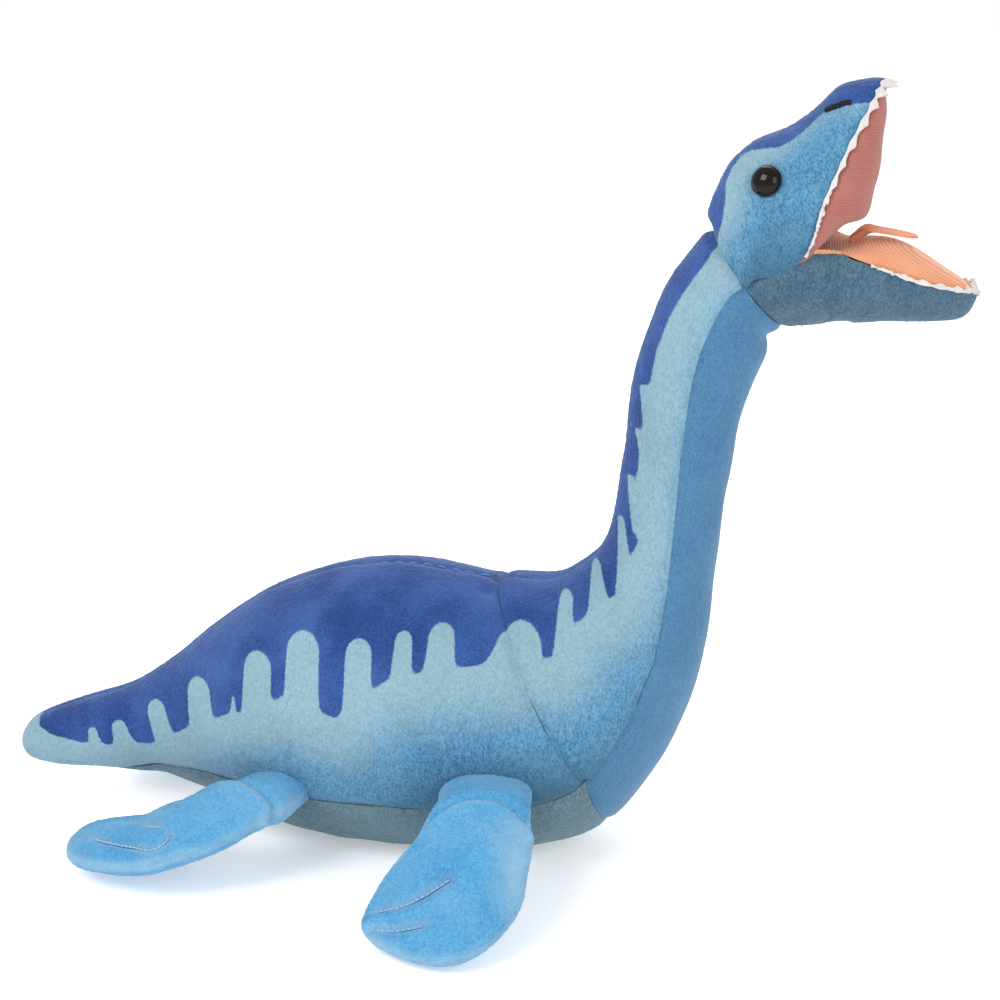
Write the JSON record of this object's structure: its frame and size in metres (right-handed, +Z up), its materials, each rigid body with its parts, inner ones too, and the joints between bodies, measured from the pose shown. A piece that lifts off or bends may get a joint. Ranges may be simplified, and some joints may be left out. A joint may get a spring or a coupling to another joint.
{
  "type": "stuffed plesiosaur toy",
  "caption": "Long-necked stuffed sea reptile with an open felt-toothed mouth, four soft flippers and a tapering tail, resting on its belly.",
  "frame": {"origin": "on the floor under the middle of the toy's outline, between the tail tip and the jaw tip", "axes": "+X to the nose, +Z up, +Y to the animal's left"},
  "size_m": [0.4112, 0.2502, 0.335],
  "materials": {
    "printed_plush": "short-pile plush printed dark blue over pale blue in long rounded drips",
    "throat_plush": "short-pile plush, plain mid blue",
    "belly_plush": "short-pile plush, plain pale blue",
    "jaw_plush": "short-pile plush, plain mid blue",
    "flipper_plush": "short-pile plush, bright sky blue",
    "palate_knit": "fine ribbed knit, dusty pink",
    "jaw_knit": "fine ribbed knit, peach",
    "tooth_felt": "white felt with a saw-toothed edge",
    "tongue_felt": "thin peach felt",
    "black_thread": "satin-stitched black thread",
    "toe_thread": "blue quilting thread",
    "fibre_fill": "white polyester fibre filling",
    "eye_gloss": "polished black safety eye",
    "eye_washer": "pressed lock washer"
  },
  "bodies": {
    "torso": {"body_panel_right": "printed_plush", "body_panel_left": "printed_plush", "neck_panel_right": "printed_plush", "neck_panel_left": "printed_plush", "throat_panel": "throat_plush", "belly_panel": "belly_plush", "body_stuffing": "fibre_fill", "neck_stuffing": "fibre_fill"},
    "head": {"head_panel_right": "printed_plush", "head_panel_left": "printed_plush", "palate_lining": "palate_knit", "jaw_panel_back": "jaw_plush", "upper_teeth": "tooth_felt", "head_stuffing": "fibre_fill", "eye_right": "eye_gloss", "eye_left": "eye_gloss", "eye_washer_right": "eye_washer", "eye_washer_left": "eye_washer", "nostril_right": "black_thread", "nostril_left": "black_thread"},
    "jaw": {"jaw_panel": "jaw_plush", "jaw_lining": "jaw_knit", "lower_teeth": "tooth_felt", "jaw_stuffing": "fibre_fill"},
    "tongue": {"tongue": "tongue_felt"},
    "front_flipper_right": {"front_flipper_right_upper": "flipper_plush", "front_flipper_right_lower": "flipper_plush", "front_flipper_right_stuffing": "fibre_fill", "front_flipper_right_toe_stitches": "toe_thread"},
    "front_flipper_left": {"front_flipper_left_upper": "flipper_plush", "front_flipper_left_lower": "flipper_plush", "front_flipper_left_stuffing": "fibre_fill", "front_flipper_left_toe_stitches": "toe_thread"},
    "rear_flipper_right": {"rear_flipper_right_upper": "flipper_plush", "rear_flipper_right_lower": "flipper_plush", "rear_flipper_right_stuffing": "fibre_fill", "rear_flipper_right_toe_stitches": "toe_thread"},
    "rear_flipper_left": {"rear_flipper_left_upper": "flipper_plush", "rear_flipper_left_lower": "flipper_plush", "rear_flipper_left_stuffing": "fibre_fill", "rear_flipper_left_toe_stitches": "toe_thread"}
  },
  "joints": [
    {"name": "head_nod", "type": "hinge", "parent": "torso", "child": "head", "pos_m": [0.10869, 0, 0.252], "axis": [0, 1, 0], "range_deg": [-10, 10], "stiffness_Nm_per_rad": 0.5},
    {"name": "jaw_fold", "type": "hinge", "parent": "head", "child": "jaw", "pos_m": [0.14469, 0, 0.252], "axis": [0, 1, 0], "range_deg": [-9, 6], "stiffness_Nm_per_rad": 0.2},
    {"name": "tongue_flap", "type": "hinge", "parent": "jaw", "child": "tongue", "pos_m": [0.15252, 0, 0.27444], "axis": [0, 1, 0], "range_deg": [-12, 2], "stiffness_Nm_per_rad": 0.01},
    {"name": "front_right_flipper_lift", "type": "hinge", "parent": "torso", "child": "front_flipper_right", "pos_m": [0.01204, -0.06158, 0.042], "axis": [-0.9976, -0.0698, 0], "range_deg": [0, 38], "stiffness_Nm_per_rad": 0.2},
    {"name": "front_left_flipper_lift", "type": "hinge", "parent": "torso", "child": "front_flipper_left", "pos_m": [0.01204, 0.06158, 0.042], "axis": [0.9976, -0.0698, 0], "range_deg": [0, 38], "stiffness_Nm_per_rad": 0.2},
    {"name": "rear_right_flipper_lift", "type": "hinge", "parent": "torso", "child": "rear_flipper_right", "pos_m": [-0.08371, -0.05416, 0.03528], "axis": [-0.9563, 0.2924, 0], "range_deg": [0, 30], "stiffness_Nm_per_rad": 0.2},
    {"name": "rear_left_flipper_lift", "type": "hinge", "parent": "torso", "child": "rear_flipper_left", "pos_m": [-0.08371, 0.05416, 0.03528], "axis": [0.9563, 0.2924, 0], "range_deg": [0, 30], "stiffness_Nm_per_rad": 0.2}
  ]
}
